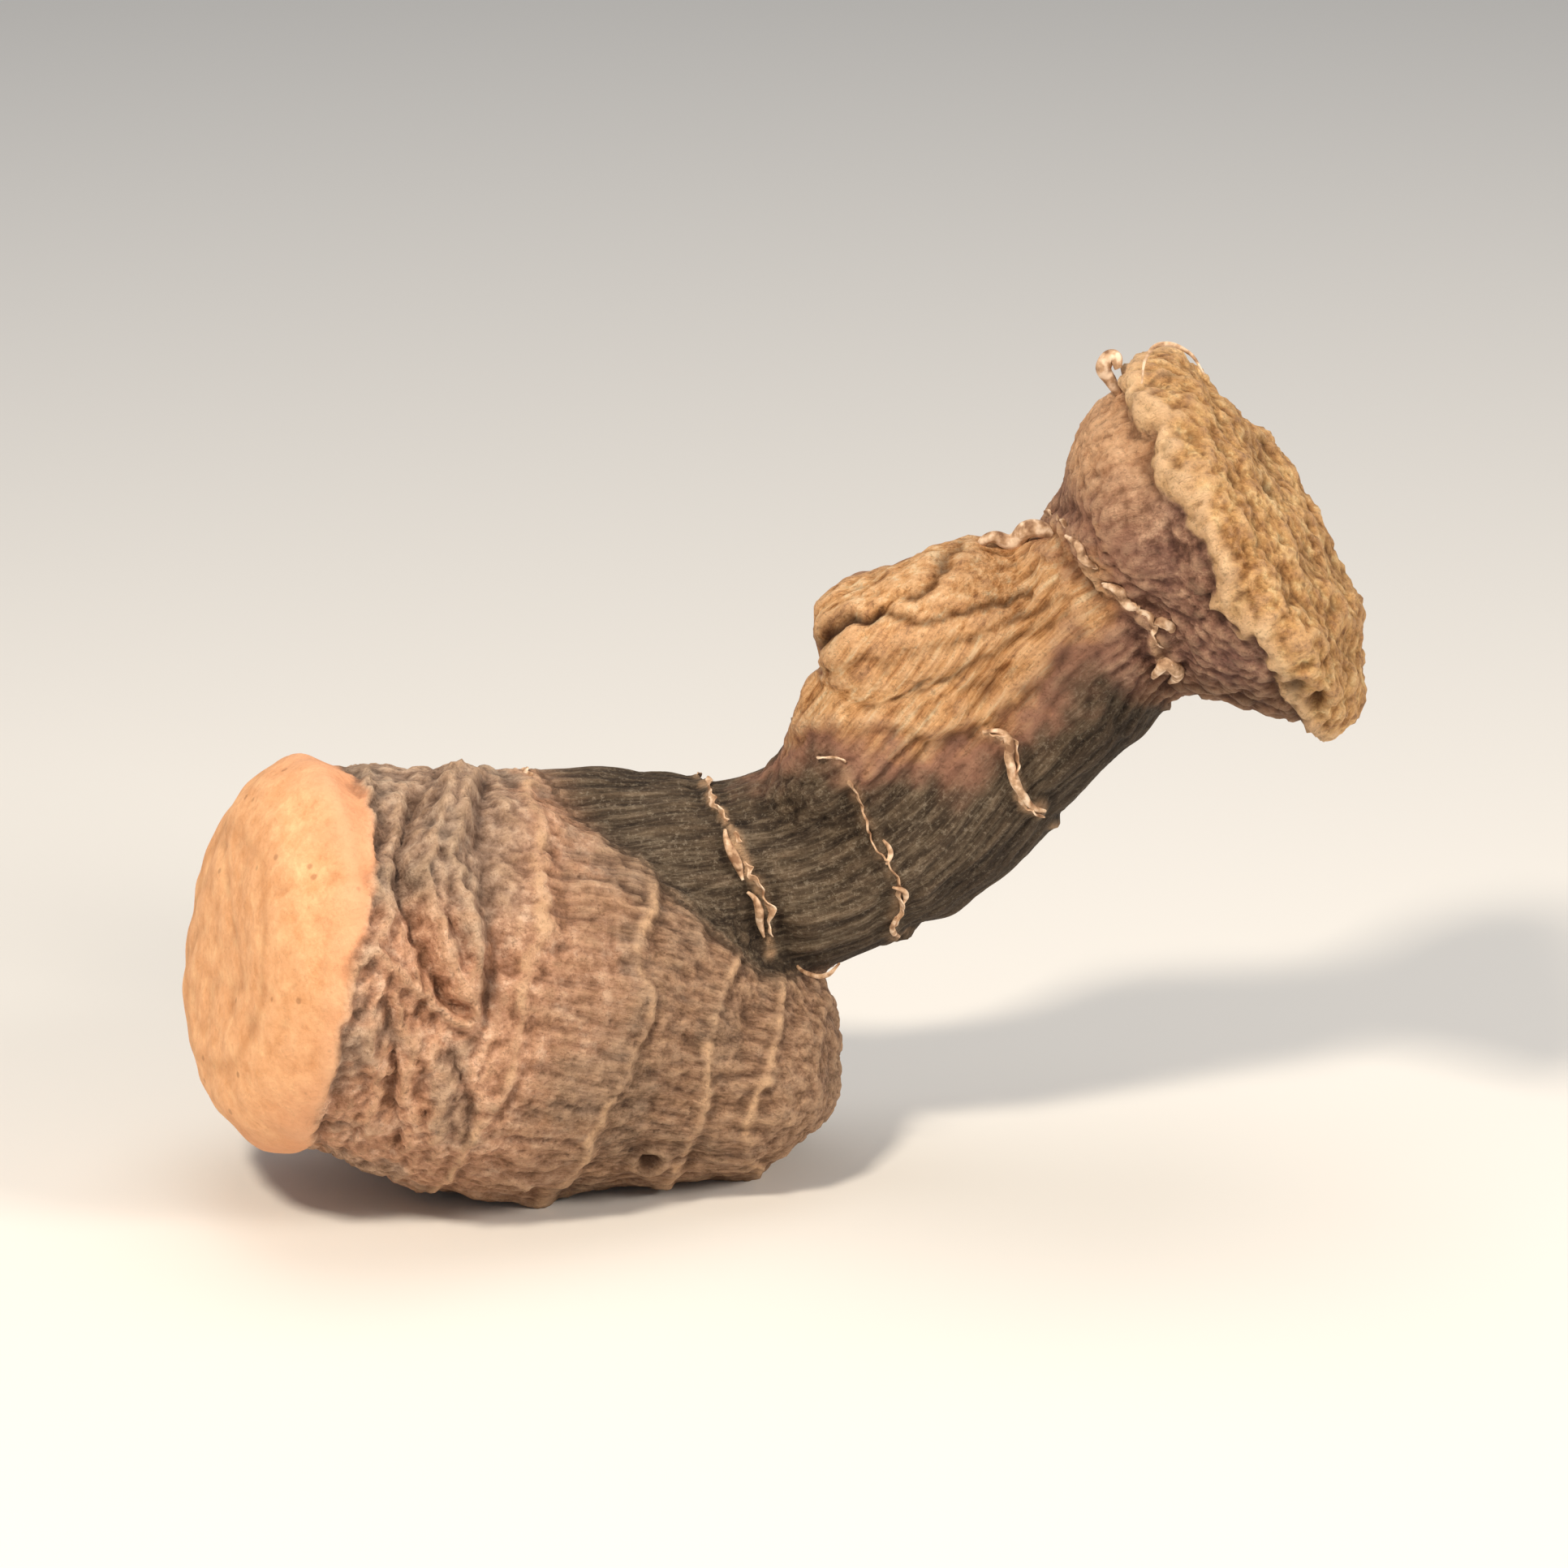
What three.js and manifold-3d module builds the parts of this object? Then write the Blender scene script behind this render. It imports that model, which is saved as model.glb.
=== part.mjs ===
// A dried galangal rhizome: one woody piece of a ginger-like root, cut from a larger clump.
// A thick older joint, sawn across at one end, rests on its belly. A thinner younger joint
// leaves its upper side, bends upwards past the stump of a side shoot, and flares to a second cut.
// Millimetres, +Z up, origin at the middle of the bounding box's underside.
import * as THREE from "three";
import { mergeVertices } from "three/addons/utils/BufferGeometryUtils.js";
import Module from "manifold-3d";

const wasm = await Module();
wasm.setup();

// --- driving dimensions ---------------------------------------------------------------------
const STEPS_AROUND = 44; // facets around each joint
const STEP_ALONG = 1.35; // spacing of the rings of facets along a joint
const NODE_SWELL = 0.4; // how far the skin stands proud at a leaf scar
const NODE_SPREAD = 0.9; // half width of that swelling along the joint
const FLOOR_SIZE = 200; // side of the block that stands for the surface it dried on
const WELD = 1e-4; // points nearer than this are one point

// A section departs from a true oval by a few lobes, which twist slowly along the joint.
const LOBES = [
  { count: 2, size: 0.3, twist: 0.21, phase: 0 },
  { count: 3, size: 0.24, twist: -0.33, phase: 1.1 },
];

// Each joint has a centre line, stations along it, [distance, half height, half width], and the
// distances of its leaf scars. Distances below zero or past the line's end lie on its straight
// extension. A slant shears the rings more and more between two distances, so that the cut at
// the end runs askew.
const OLDER_JOINT = {
  line: [
    [-33.0, -5.5, 17.4],
    [-25.0, -2.5, 15.6],
    [-17.0, 0.0, 12.6],
    [-9.5, 1.8, 10.1],
    [-3.5, 2.6, 8.2],
    [2.0, 3.0, 7.2],
  ],
  stations: [
    [-1.2, 0, 0],
    [-1.1, 5.0, 5.2],
    [-0.8, 9.0, 9.4],
    [-0.2, 11.6, 12.2],
    [0.5, 12.8, 13.5],
    [1.4, 13.2, 13.9],
    [2.6, 12.9, 13.6],
    [4.4, 12.4, 13.2],
    [7.4, 12.6, 13.5],
    [10.4, 13.1, 14.1],
    [14.0, 13.2, 14.3],
    [19.0, 13.1, 14.2],
    [24.0, 12.0, 13.2],
    [29.0, 10.5, 11.8],
    [33.0, 9.2, 10.5],
    [36.0, 8.0, 9.2],
    [38.0, 6.4, 7.4],
    [39.2, 4.2, 4.9],
    [39.8, 2.1, 2.4],
    [39.9, 0, 0],
  ],
  nodes: [14.0, 22.0, 29.5, 34.8],
};
const YOUNGER_JOINT = {
  line: [
    [-27.0, -1.0, 17.3],
    [-18.2, 1.6, 18.0],
    [-9.9, 3.2, 18.6],
    [-2.5, 4.2, 19.1],
    [3.6, 4.5, 20.3],
    [9.4, 4.2, 23.9],
    [13.8, 3.6, 29.2],
    [18.4, 2.9, 34.9],
    [23.2, 2.2, 39.1],
    [27.4, 1.5, 40.9],
    [31.0, 1.1, 42.9],
  ],
  stations: [
    [-1.0, 0, 0],
    [0.0, 5.6, 5.6],
    [9.0, 8.2, 8.2],
    [17.5, 7.5, 7.6],
    [25.0, 6.6, 7.0],
    [31.0, 6.8, 6.9],
    [38.0, 7.2, 6.9],
    [44.0, 7.2, 6.9],
    [51.5, 7.3, 7.1],
    [57.0, 6.8, 7.1],
    [60.0, 7.0, 7.5],
    [62.2, 8.2, 8.8],
    [64.0, 10.6, 10.8],
    [65.6, 12.7, 12.4],
    [67.2, 13.8, 13.2],
    [68.8, 13.9, 13.3],
    [69.8, 12.9, 12.3],
    [70.3, 11.0, 10.4],
    [70.6, 7.6, 7.2],
    [70.8, 0, 0],
  ],
  nodes: [29.0, 36.5, 52.5],
  slant: { from: 56, until: 68, slope: -0.08 },
};
// Behind the second cut the upper side swells early, where a leaf base wrapped the joint.
const FLARE_SHOULDER = {
  line: [
    [18.5, 2.7, 41.8],
    [24.0, 1.8, 44.7],
    [29.2, 0.9, 47.5],
  ],
  stations: [
    [-0.8, 0, 0],
    [-0.4, 2.2, 3.4],
    [1.9, 4.0, 6.0],
    [4.4, 6.6, 9.0],
    [6.8, 8.1, 10.4],
    [9.0, 8.0, 10.6],
    [11.0, 6.8, 9.4],
    [12.6, 4.0, 6.0],
    [13.2, 0, 0],
  ],
  nodes: [],
};
// The side shoot was cut off low, which leaves a blunt wedge along the bend.
const SHOOT_STUMP = {
  line: [
    [4.3, 2.2, 34.4],
    [10.0, 2.3, 36.7],
    [17.6, 2.6, 39.2],
  ],
  stations: [
    [-0.6, 0, 0],
    [-0.4, 2.8, 3.0],
    [0.5, 4.3, 4.9],
    [2.6, 4.9, 5.7],
    [7.0, 4.9, 5.8],
    [11.0, 4.3, 5.2],
    [14.0, 2.8, 3.6],
    [14.8, 0, 0],
  ],
  nodes: [],
};
// Below the cut, the shoot still grows out of the younger joint's back.
const SHOOT_FOOT = {
  line: [
    [3.4, 2.6, 25.2],
    [6.4, 2.5, 30.6],
    [11.0, 2.5, 34.4],
    [15.6, 2.6, 37.2],
  ],
  stations: [
    [-1.6, 0, 0],
    [-1.2, 3.6, 3.8],
    [1.0, 4.7, 5.2],
    [5.0, 4.8, 5.6],
    [10.0, 4.8, 5.6],
    [14.0, 4.2, 4.8],
    [16.6, 2.4, 2.8],
    [17.2, 0, 0],
  ],
  nodes: [],
};

// --- geometry -------------------------------------------------------------------------------
// The value of a table's column at a distance, on smooth pieces that never overshoot.
function between(table, distance, column) {
  const last = table.length - 1;
  const at = Math.min(Math.max(distance, table[0][0]), table[last][0]);
  let i = 0;
  while (i < last - 1 && at > table[i + 1][0]) i += 1;
  const slope = (k) => {
    if (k <= 0 || k >= last) return 0;
    const before = (table[k][column] - table[k - 1][column]) / (table[k][0] - table[k - 1][0]);
    const after = (table[k + 1][column] - table[k][column]) / (table[k + 1][0] - table[k][0]);
    return before * after > 0 ? (2 * before * after) / (before + after) : 0;
  };
  const width = table[i + 1][0] - table[i][0];
  const t = (at - table[i][0]) / width;
  const start = table[i][column] * (1 + 2 * t) + slope(i) * width * t;
  const end = table[i + 1][column] * (3 - 2 * t) - slope(i + 1) * width * (1 - t);
  return start * (1 - t) ** 2 + end * t ** 2;
}

// Point and axes of the centre line at a distance: up stays in the vertical plane of the joint.
function placeOn(curve, length, distance) {
  const share = Math.min(Math.max(distance / length, 0), 1);
  const along = curve.getTangentAt(share);
  const point = curve.getPointAt(share);
  point.addScaledVector(along, distance - share * length);
  const across = new THREE.Vector3(0, 1, 0);
  across.addScaledVector(along, -across.dot(along)).normalize();
  const up = new THREE.Vector3().crossVectors(along, across);
  return { point, across, up };
}

// Distances of the rings of facets: each station, with even steps between them.
function ringDistances(stations) {
  const found = [stations[0][0]];
  for (let i = 1; i < stations.length; i += 1) {
    const gap = stations[i][0] - stations[i - 1][0];
    const steps = Math.max(1, Math.round(gap / STEP_ALONG));
    for (let k = 1; k <= steps; k += 1) found.push(stations[i - 1][0] + (gap * k) / steps);
  }
  return found;
}

// How far the skin stands out of a joint's smooth section at a distance and an angle.
function relief(nodes, distance, angle) {
  const swell = nodes.reduce((sum, node) => sum + Math.exp(-(((distance - node) / NODE_SPREAD) ** 2)), 0);
  return LOBES.reduce(
    (sum, lobe) => sum + lobe.size * Math.sin(lobe.count * angle + lobe.twist * distance + lobe.phase),
    NODE_SWELL * swell,
  );
}

// A lathe turned along Y, then bent onto the joint's centre line and flattened to its section.
function bentLathe({ line, stations, nodes, slant }) {
  const points = line.map((p) => new THREE.Vector3(...p));
  const curve = new THREE.CatmullRomCurve3(points, false, "centripetal");
  const length = curve.getLength();
  const rings = ringDistances(stations);
  const isEnd = (k) => k === 0 || k === rings.length - 1;
  const profile = rings.map((d, k) => new THREE.Vector2(isEnd(k) ? 0 : 1, d));
  const geometry = new THREE.LatheGeometry(profile, STEPS_AROUND);
  geometry.deleteAttribute("normal");
  geometry.deleteAttribute("uv");
  const places = geometry.attributes.position;
  for (let i = 0; i < places.count; i += 1) {
    const distance = places.getY(i);
    const x = places.getX(i);
    const z = places.getZ(i);
    const proud = relief(nodes, distance, Math.atan2(z, x)) * Math.hypot(x, z);
    const height = z * (between(stations, distance, 1) + proud);
    const breadth = -x * (between(stations, distance, 2) + proud);
    const share = slant ? THREE.MathUtils.smoothstep(distance, slant.from, slant.until) : 0;
    const askew = slant ? share * slant.slope * height : 0;
    const { point, across, up } = placeOn(curve, length, distance + askew);
    point.addScaledVector(up, height).addScaledVector(across, breadth);
    places.setXYZ(i, point.x, point.y, point.z);
  }
  return geometry;
}

function solidOf(geometry) {
  const merged = mergeVertices(geometry, WELD);
  const vertProperties = merged.attributes.position.array;
  const triVerts = new Uint32Array(merged.index.array);
  return new wasm.Manifold(new wasm.Mesh({ numProp: 3, vertProperties, triVerts }));
}

function geometryOf(solid) {
  const { vertProperties, triVerts } = solid.getMesh();
  const geometry = new THREE.BufferGeometry();
  geometry.setAttribute("position", new THREE.BufferAttribute(vertProperties, 3));
  geometry.setIndex(new THREE.BufferAttribute(triVerts, 1));
  return geometry;
}

// --- the rhizome ----------------------------------------------------------------------------
function rhizome() {
  const floor = new THREE.BoxGeometry(FLOOR_SIZE, FLOOR_SIZE, FLOOR_SIZE);
  floor.deleteAttribute("normal");
  floor.deleteAttribute("uv");
  floor.translate(0, 0, -FLOOR_SIZE / 2);
  const joints = [OLDER_JOINT, YOUNGER_JOINT, FLARE_SHOULDER, SHOOT_STUMP, SHOOT_FOOT];
  const grown = joints.map((joint) => solidOf(bentLathe(joint)));
  const whole = grown.reduce((sum, joint) => sum.add(joint)).subtract(solidOf(floor));
  const geometry = geometryOf(whole);
  geometry.computeBoundingBox();
  const middle = geometry.boundingBox.getCenter(new THREE.Vector3());
  geometry.translate(-middle.x, -middle.y, -geometry.boundingBox.min.z);
  const bark = new THREE.MeshStandardMaterial({ color: 0x6b5145, roughness: 0.9, metalness: 0 });
  const mesh = new THREE.Mesh(geometry, bark);
  mesh.name = "rhizome";
  return mesh;
}

const root = new THREE.Group();
root.add(rhizome());
export default root;
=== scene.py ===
# A dried galangal rhizome on a pale studio floor. Metres, +Z up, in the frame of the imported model.
import math

import bmesh
import bpy
import numpy as np
from mathutils import Matrix, Vector, kdtree, noise
from mathutils.bvhtree import BVHTree


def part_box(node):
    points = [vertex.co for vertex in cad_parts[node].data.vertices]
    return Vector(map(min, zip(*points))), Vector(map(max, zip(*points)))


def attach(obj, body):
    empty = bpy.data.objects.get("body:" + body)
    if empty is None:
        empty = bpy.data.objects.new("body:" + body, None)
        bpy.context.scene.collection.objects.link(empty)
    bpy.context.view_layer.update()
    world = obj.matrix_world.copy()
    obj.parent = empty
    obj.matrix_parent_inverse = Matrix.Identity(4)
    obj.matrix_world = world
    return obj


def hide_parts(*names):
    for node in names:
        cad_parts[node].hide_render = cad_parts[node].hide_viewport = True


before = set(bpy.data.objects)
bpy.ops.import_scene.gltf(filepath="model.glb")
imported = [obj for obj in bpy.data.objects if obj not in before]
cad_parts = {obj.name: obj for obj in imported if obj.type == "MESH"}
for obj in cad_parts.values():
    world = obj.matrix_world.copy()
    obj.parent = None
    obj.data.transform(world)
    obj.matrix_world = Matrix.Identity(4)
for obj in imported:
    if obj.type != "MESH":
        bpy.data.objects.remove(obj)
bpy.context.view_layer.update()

# --- driving values -------------------------------------------------------------------------
LOW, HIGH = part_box("rhizome")
ROOT_LENGTH = 77.8  # millimetres, from the sawn end to the flared end
MM = (HIGH.x - LOW.x) / ROOT_LENGTH  # metres in one millimetre of a root of that length
SKIN_STEP = 0.33  # millimetres between points of the skin
SMOOTHING = 26  # passes that round the creases where the joints meet
VIEW_ELEVATION = math.radians(17)
FRAMING = 1.3  # width of the picture over the length of the root
LENS = 115
SENSOR = 36

# The centre lines of the joints, in millimetres in the frame.
OLDER_LINE = [(-33.8, -3.8, 17.4), (-25.8, -0.8, 15.6), (-17.8, 1.7, 12.6), (-10.3, 3.5, 10.1),
              (-4.3, 4.3, 8.2), (1.2, 4.7, 7.2)]
YOUNGER_LINE = [(-27.8, 0.7, 17.3), (-19.0, 3.3, 18.0), (-10.7, 4.9, 18.6), (-3.3, 5.9, 19.1),
                (2.8, 6.2, 20.3), (8.6, 5.9, 23.9), (13.0, 5.3, 29.2), (17.6, 4.6, 34.9),
                (22.4, 3.9, 39.1), (26.6, 3.2, 40.9), (30.2, 2.8, 42.9)]
STUMP_LINE = [(3.5, 3.9, 34.4), (9.2, 4.0, 36.7), (16.8, 4.3, 39.2)]
OLDER_RADIUS = 13.4
YOUNGER_RADIUS = 7.4
OLDER_SCARS = [14.0, 22.0, 29.5, 34.8]
YOUNGER_SCARS = [(25.3, -0.32), (34.0, 0.1), (44.0, 0.05), (55.5, 0.0)]  # and how far each leans
FLESH_EDGE = 2.2  # where the bark starts behind the sawn face, along the older joint
BUD_FOOT = (0.8, 27.6)  # where the bud meets the younger joint, as the viewer sees it
RIM_ROUNDING = 0.9  # how far the rim of the sawn face is rounded off
CUSHION = 1.5  # how far the sawn face swells
DISC_EDGE = 66.0  # where the bark ends at the flare, along the younger joint

# Marks on the side that faces the viewer, as (x, height) seen from VIEW_ELEVATION above the floor.
# Each fold is its height, its breadth and its line. A height below zero is a crease.
FOLDS = [
    (0.60, 1.10, [(-20.4, 26.6), (-21.6, 23.0), (-21.3, 19.6), (-19.8, 15.6), (-19.0, 12.4)]),
    (0.85, 0.42, [(-21.2, 26.4), (-22.3, 22.9), (-22.7, 20.7), (-21.5, 17.0), (-20.2, 13.6), (-19.4, 12.0)]),
    (0.70, 0.45, [(-19.9, 26.4), (-20.3, 25.0), (-21.1, 22.0), (-20.0, 18.7), (-19.2, 15.3), (-18.8, 13.4)]),
    (0.70, 0.40, [(-27.0, 26.6), (-26.2, 23.3), (-25.5, 20.7), (-24.4, 18.0), (-25.4, 16.1)]),
    (0.90, 0.34, [(-27.6, 11.4), (-27.2, 14.0), (-25.7, 16.0), (-24.3, 14.7), (-22.0, 12.7), (-20.0, 11.2)]),
    (0.45, 0.60, [(-22.4, 10.4), (-21.7, 7.4), (-21.9, 4.4)]),
    (0.40, 0.45, [(-26.0, 10.6), (-25.3, 7.9), (-26.2, 4.6)]),
    (0.40, 0.40, [(-24.3, 12.2), (-23.2, 9.6), (-23.8, 7.4), (-23.0, 5.2)]),
    (-1.20, 0.48, [(-23.6, 25.0), (-24.0, 22.2), (-23.4, 18.7), (-22.4, 15.4), (-21.3, 13.2), (-20.2, 12.1)]),
    (-0.60, 0.34, [(-21.0, 20.2), (-20.6, 17.4), (-19.9, 15.0)]),
    (-0.60, 0.36, [(-26.2, 20.4), (-25.3, 22.2), (-25.0, 24.6)]),
    (-0.40, 0.32, [(-27.5, 21.6), (-27.2, 18.6), (-27.3, 16.0)]),
    (-0.50, 0.34, [(-24.9, 12.9), (-24.4, 9.6), (-24.8, 6.2), (-24.4, 3.6)]),
    (-0.45, 0.30, [(-20.9, 9.4), (-19.8, 6.6), (-19.9, 4.2)]),
]
FOLD_STEP = [(-19.5, 26.2), (-19.0, 23.1), (-18.5, 20.4), (-17.8, 17.6), (-17.2, 14.6)]
FLESH_CREASE = [(-34.6, 22.2), (-34.1, 19.0), (-33.7, 16.1), (-33.6, 13.2)]
# Each crack of the bud scar is its depth, its breadth and its line.
CRACKS = [
    (0.95, 0.36, [(2.1, 34.2), (3.0, 35.4), (4.2, 36.5), (6.4, 36.9)]),
    (0.45, 0.28, [(6.4, 36.9), (8.4, 36.5), (11.9, 37.2), (15.6, 38.3)]),
    (0.50, 0.28, [(8.0, 37.9), (9.6, 39.2), (11.4, 40.9)]),
    (0.25, 0.35, [(3.4, 33.6), (8.4, 34.8), (13.9, 36.4), (18.2, 38.2)]),
    (0.22, 0.35, [(5.4, 31.2), (9.6, 33.1), (13.9, 34.9), (18.2, 37.2)]),
]
STUMP_EDGE = [(-1.3, 28.4), (0.0, 31.1), (1.4, 33.5), (1.8, 38.3), (4.8, 40.6), (8.2, 42.0), (12.6, 43.2),
              (15.6, 43.4), (17.2, 42.2), (18.3, 40.5), (20.4, 37.9), (16.7, 32.9), (13.0, 29.9),
              (9.4, 28.9), (7.0, 29.7), (2.4, 29.4)]
SCAR_FRILLS = [
    [(-5.2, 26.6), (-5.0, 25.7), (-3.5, 23.5), (-2.2, 20.5), (-1.3, 18.9), (-0.7, 15.4)],
    [(2.2, 28.3), (3.3, 27.9), (4.5, 26.1), (5.2, 23.9), (6.7, 21.1), (7.6, 19.1), (7.0, 16.8)],
    [(12.8, 29.6), (14.4, 28.9), (15.2, 25.5), (15.6, 24.6), (16.8, 24.4)],
    [(12.4, 43.2), (14.3, 43.5), (16.5, 43.6), (17.8, 42.4), (18.9, 40.6), (20.2, 38.7), (21.3, 38.0),
     (22.4, 37.0), (23.3, 35.6), (24.4, 33.7)],
]
SHEATH_WIDTHS = [0.55, 0.2, 0.4, 0.8]
# Each rolled scrap of sheath is its radius and its line.
SHEATH_CURLS = [
    (0.27, [(12.8, 29.6), (14.0, 29.5), (14.6, 27.6), (15.3, 25.6), (15.9, 24.8), (17.0, 24.6)]),
    (0.26, [(-3.8, 23.2), (-3.4, 22.0), (-2.8, 20.8), (-2.6, 19.8)]),
    (0.22, [(-2.4, 19.3), (-1.7, 18.7), (-1.5, 17.2), (-1.1, 16.0)]),
    (0.15, [(6.3, 22.6), (6.8, 21.8), (6.6, 21.0)]),
    (0.17, [(7.0, 19.8), (7.8, 19.3), (7.6, 18.4)]),
    (0.17, [(7.2, 17.8), (7.0, 16.9), (7.5, 16.3)]),
    (0.24, [(17.9, 41.9), (18.6, 41.3), (18.9, 40.4), (19.7, 40.0)]),
    (0.28, [(20.2, 38.9), (21.2, 38.4), (22.0, 37.4), (22.8, 37.6)]),
    (0.34, [(23.2, 36.6), (24.2, 36.4), (24.8, 35.4)]),
    (0.36, [(23.5, 33.2), (24.4, 34.0), (25.1, 33.4), (24.6, 32.6)]),
]


# --- lines, marks and noise -----------------------------------------------------------------
def smooth_line(points, steps=40):
    """A smooth line through the points: its places, its directions and the distances along it."""
    points = np.array(points, float)
    knots = np.concatenate([[0], np.cumsum(np.linalg.norm(np.diff(points, axis=0), axis=1))])
    slopes = np.gradient(points, knots, axis=0)
    distances = np.linspace(0, knots[-1], steps * (len(points) - 1) + 1)
    cell = np.clip(np.searchsorted(knots, distances, side="right") - 1, 0, len(points) - 2)
    width = (knots[cell + 1] - knots[cell])[:, None]
    t = (distances - knots[cell])[:, None] / width
    start = points[cell] * (1 + 2 * t) + slopes[cell] * width * t
    end = points[cell + 1] * (3 - 2 * t) - slopes[cell + 1] * width * (1 - t)
    places = start * (1 - t) ** 2 + end * t ** 2
    along = np.gradient(places, axis=0)
    return places, along / np.linalg.norm(along, axis=1)[:, None], distances


def follow(line, skin):
    """For each point of the skin: distance along a joint's centre line, height and breadth off it."""
    places, along, distances = smooth_line(line)
    tree = kdtree.KDTree(len(places))
    for i, place in enumerate(places):
        tree.insert(place, i)
    tree.balance()
    nearest = np.array([tree.find(point)[1] for point in skin.tolist()])
    along = along[nearest]
    off = skin - places[nearest]
    ahead = (off * along).sum(1)
    off = off - ahead[:, None] * along
    across = np.array([0.0, 1.0, 0.0]) - along * along[:, 1:2]
    across = across / np.linalg.norm(across, axis=1)[:, None]
    up = np.cross(along, across)
    return np.stack([distances[nearest] + ahead, (off * up).sum(1), (off * across).sum(1)], 1)


def seen(skin):
    """Places as the viewer sees them: x, and height in the picture."""
    height = skin[:, 1] * math.sin(VIEW_ELEVATION) + skin[:, 2] * math.cos(VIEW_ELEVATION)
    return np.stack([skin[:, 0], height], 1)


def from_path(flat, path):
    """Distance of each point from a path of straight stretches."""
    nearest = np.full(len(flat), np.inf)
    path = np.array(path, float)
    for a, b in zip(path[:-1], path[1:]):
        stretch = b - a
        share = np.clip(((flat - a) @ stretch) / (stretch @ stretch), 0, 1)
        nearest = np.minimum(nearest, np.linalg.norm(flat - a - share[:, None] * stretch, axis=1))
    return nearest


def inside(flat, outline):
    """Distance into a closed outline: above zero inside it, below zero outside."""
    corners = np.array(outline + outline[:1], float)
    within = np.zeros(len(flat), bool)
    for a, b in zip(corners[:-1], corners[1:]):
        spans = (a[1] > flat[:, 1]) != (b[1] > flat[:, 1])
        crossing = a[0] + (flat[:, 1] - a[1]) * (b[0] - a[0]) / (b[1] - a[1] + 1e-12)
        within ^= spans & (flat[:, 0] < crossing)
    return np.where(within, 1, -1) * from_path(flat, corners)


def lumps(points, size, seed=0.0):
    """Smooth noise, about -1 to 1. size is how long a lump is, on all axes or on each one."""
    return np.array([noise.noise(p) for p in (points / np.array(size) + seed).tolist()]) * 1.6


def creases(points, size, seed=0.0):
    """Sharp valleys between round backs, 0 in a valley and up to 1 on a back."""
    return np.minimum(np.abs(lumps(points, size, seed)) * 1.8, 1) ** 0.7


def cells(points, size, seed=0.0):
    """Distance to the nearest of scattered points, 0 at a point, about 1 between them."""
    scaled = (points / np.array(size) + seed).tolist()
    return np.array([noise.voronoi(p)[0][0] for p in scaled])


def bell(distance, width):
    return np.exp(-((distance / width) ** 2))


def rise(value, start, end):
    """0 before start, 1 after end, smooth between them."""
    t = np.clip((value - start) / (end - start), 0, 1)
    return t * t * (3 - 2 * t)


# --- the skin of the rhizome ----------------------------------------------------------------
def even_skin():
    """A copy of the frame's rhizome with evenly spread points and rounded creases."""
    work = bmesh.new()
    work.from_mesh(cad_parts["rhizome"].data)
    bmesh.ops.remove_doubles(work, verts=work.verts, dist=0.002 * MM)
    mesh = bpy.data.meshes.new("rhizome_skin")
    work.to_mesh(mesh)
    work.free()
    skin = bpy.data.objects.new("rhizome_skin", mesh)
    bpy.context.collection.objects.link(skin)
    remesh = skin.modifiers.new("even", "REMESH")
    remesh.mode = "VOXEL"
    remesh.voxel_size = SKIN_STEP * MM
    rounding = skin.modifiers.new("rounding", "SMOOTH")
    rounding.factor = 0.5
    rounding.iterations = SMOOTHING
    evaluated = skin.evaluated_get(bpy.context.evaluated_depsgraph_get())
    skin.data = bpy.data.meshes.new_from_object(evaluated)
    skin.modifiers.clear()
    bpy.data.meshes.remove(mesh)
    skin.data.materials.clear()
    return skin


def read(mesh, name, layer="vertices"):
    values = np.zeros(len(getattr(mesh, layer)) * 3, np.float32)
    getattr(mesh, layer).foreach_get(name, values)
    return values.reshape(-1, 3).astype(float)


def write_places(mesh, places):
    mesh.vertices.foreach_set("co", places.astype(np.float32).ravel())
    mesh.update()


def write_mask(mesh, name, values):
    mask = mesh.attributes.new(name, "FLOAT", "POINT")
    mask.data.foreach_set("value", np.clip(values, 0, 1).astype(np.float32))


def averaging(mesh):
    """A function that gives each point the mean of what the points joined to it hold."""
    ends = np.zeros(len(mesh.edges) * 2, np.int32)
    mesh.edges.foreach_get("vertices", ends)
    ends = ends.reshape(-1, 2)
    here = np.concatenate([ends[:, 0], ends[:, 1]])
    there = np.concatenate([ends[:, 1], ends[:, 0]])
    joined = np.maximum(np.bincount(here, minlength=len(mesh.vertices)), 1)[:, None]

    def average(values):
        summed = [np.bincount(here, values[there, k], len(values)) for k in range(3)]
        return np.stack(summed, 1) / joined
    return average


def hollowness(mesh, average, passes):
    """How far each point lies below its surroundings, in millimetres. Backs are below zero."""
    places = read(mesh, "co")
    calm = places
    for _ in range(passes):
        calm = average(calm)
    return ((calm - places) * read(mesh, "normal")).sum(1) / MM


def melt(mesh, average, passes):
    """Rounds off the lump where the bud grows out of the younger joint, so the bark runs over it."""
    places = read(mesh, "co")
    away = np.linalg.norm(seen(places / MM) - np.array(BUD_FOOT), axis=1)
    share = (0.9 * bell(away, 3.2))[:, None]
    for _ in range(passes):
        places = places + share * (average(places) - places)
    write_places(mesh, places)


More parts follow.
